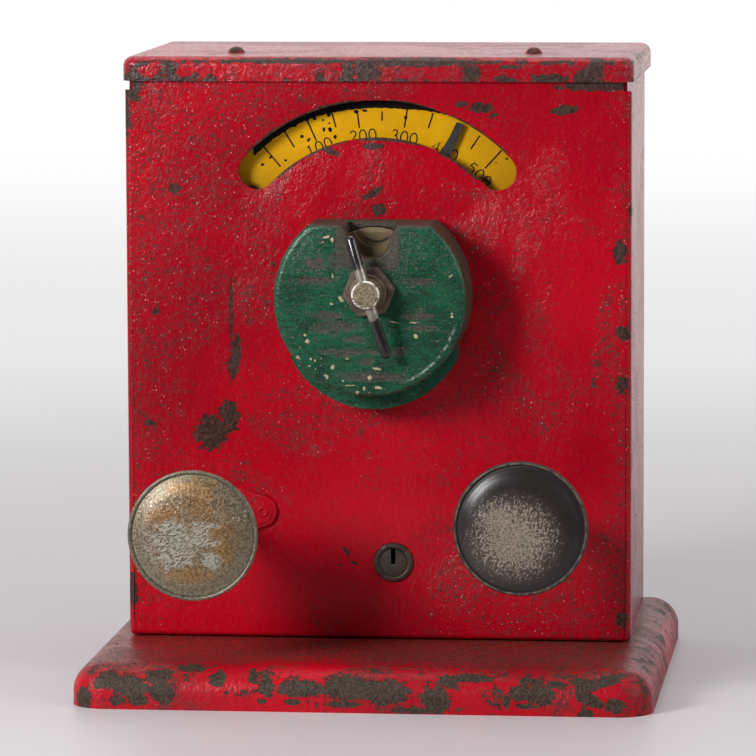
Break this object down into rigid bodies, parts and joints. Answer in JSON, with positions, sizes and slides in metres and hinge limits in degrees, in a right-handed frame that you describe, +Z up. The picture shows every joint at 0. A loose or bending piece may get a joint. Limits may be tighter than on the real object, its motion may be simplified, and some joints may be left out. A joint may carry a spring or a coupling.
{
  "type": "coin-operated shock machine",
  "caption": "Counter-top novelty machine: steel case on a cast base, coin head with a turning handle, arc dial, two electrode knobs and an induction coil inside.",
  "frame": {"origin": "centre of the base's footprint, on the surface that it stands on", "axes": "+X to the machine's right as seen from the front, +Y to its back, +Z up; the front panel faces -Y"},
  "size_m": [0.258, 0.214, 0.2863],
  "materials": {
    "red_paint": "worn gloss enamel",
    "green_paint": "worn satin enamel",
    "dial_yellow": "aged yellow card on steel",
    "brass": "aged",
    "worn_nickel": "worn nickel plate",
    "black_nickel": "dark, worn",
    "steel": "plain",
    "blued_steel": "blued",
    "tinplate": "bright tin",
    "black_paint": "satin",
    "fibre": "vulcanised fibre",
    "black_fibre": "ebonite",
    "board": "varnished",
    "silk": "silk-covered copper wire",
    "iron": "bare",
    "card": "waxed card jacket",
    "lead_cover": "braided cotton"
  },
  "bodies": {
    "case": {"base": "red_paint", "case_shell": "red_paint", "lid": "red_paint", "lid_rivets": "red_paint", "lid_clips": "steel", "case_screws": "steel", "lock_catch": "steel", "dry_cell": "card", "cell_posts": "brass", "battery_strap": "tinplate", "coin_tray": "tinplate", "contact_block": "fibre", "contact_springs": "brass", "battery_leads": "lead_cover"},
    "panel": {"front_panel": "red_paint", "dial_plate": "dial_yellow", "head_body": "green_paint", "head_front": "green_paint", "gland_nut": "worn_nickel", "panel_nuts": "brass", "coin_chute": "tinplate", "mech_plate": "brass", "mech_pillars": "brass", "train_bridge": "brass", "mainspring": "blued_steel", "left_knob_front": "worn_nickel", "left_knob_back": "worn_nickel", "left_stem": "worn_nickel", "stem_bushings": "black_fibre", "ear_plate": "red_paint", "ear_rivets": "red_paint", "coil_board": "board", "coil_bobbin": "black_fibre", "coil_winding": "silk", "iron_core": "iron", "contact_bracket": "brass", "contact_screw": "steel", "lock_barrel": "black_nickel", "contact_studs": "brass", "door_leads": "lead_cover"},
    "handle": {"coin_shaft": "worn_nickel", "handle_rod": "black_nickel", "coin_drum": "brass", "drive_wheel": "brass"},
    "second_wheel": {"second_arbor": "steel", "second_wheel": "brass"},
    "fan": {"fan_arbor": "steel", "fan": "brass"},
    "regulator": {"right_knob_front": "black_nickel", "right_knob_back": "black_nickel", "regulator_stem": "black_nickel", "regulator_crank": "brass", "regulator_pinion": "brass"},
    "link": {"link_rod": "steel"},
    "pointer": {"pointer": "black_paint"},
    "damper": {"damper_tube": "brass", "damper_rack": "brass"},
    "lock": {"lock_plug": "black_nickel", "lock_cam": "steel"},
    "armature": {"armature": "steel"}
  },
  "joints": [
    {"name": "panel_tilt", "type": "hinge", "parent": "case", "child": "panel", "pos_m": [0, -0.02525, 0.2725], "axis": [-1, 0, 0], "range_deg": [0, 12]},
    {"name": "handle_turn", "type": "hinge", "parent": "panel", "child": "handle", "pos_m": [0, -0.0235, 0.181], "axis": [0, 1, 0], "range_deg": [0, 180], "stiffness_Nm_per_rad": 0.01},
    {"name": "second_turn", "type": "hinge", "parent": "panel", "child": "second_wheel", "pos_m": [-0.02873, -0.0235, 0.1569], "axis": [0, 1, 0], "range_deg": [-725, 5]},
    {"name": "fan_turn", "type": "hinge", "parent": "panel", "child": "fan", "pos_m": [-0.02873, -0.0235, 0.12565], "axis": [0, 1, 0], "range_deg": [-5, 2885]},
    {"name": "regulator_turn", "type": "hinge", "parent": "panel", "child": "regulator", "pos_m": [0.0713, -0.0235, 0.0822], "axis": [0, 1, 0], "range_deg": [-66.9, 15.6]},
    {"name": "link_turn", "type": "hinge", "parent": "regulator", "child": "link", "pos_m": [0.08509, -0.0235, 0.08463], "axis": [0, 1, 0], "range_deg": [-15.8, 67.1]},
    {"name": "pointer_turn", "type": "hinge", "parent": "panel", "child": "pointer", "pos_m": [0, -0.0235, 0.181], "axis": [0, 1, 0], "range_deg": [-67.1, 15.8]},
    {"name": "damper_slide", "type": "slide", "parent": "panel", "child": "damper", "axis": [0, 0, 1], "range_m": [-0.005, 0.0211]},
    {"name": "lock_turn", "type": "hinge", "parent": "panel", "child": "lock", "pos_m": [0.0069, -0.0235, 0.0546], "axis": [0, 1, 0], "range_deg": [0, 90]},
    {"name": "armature_swing", "type": "hinge", "parent": "panel", "child": "armature", "pos_m": [0.075, 0.003, 0.1951], "axis": [0, 1, 0], "range_deg": [0, 2.5], "stiffness_Nm_per_rad": 0.05}
  ],
  "couplings": [
    {"joint": "second_turn", "follows": "handle_turn", "ratio": -4},
    {"joint": "fan_turn", "follows": "handle_turn", "ratio": 16},
    {"joint": "link_turn", "follows": "regulator_turn", "ratio": -1},
    {"joint": "pointer_turn", "follows": "regulator_turn", "ratio": 1},
    {"joint": "damper_slide", "follows": "regulator_turn", "m_per_rad": -0.018}
  ]
}
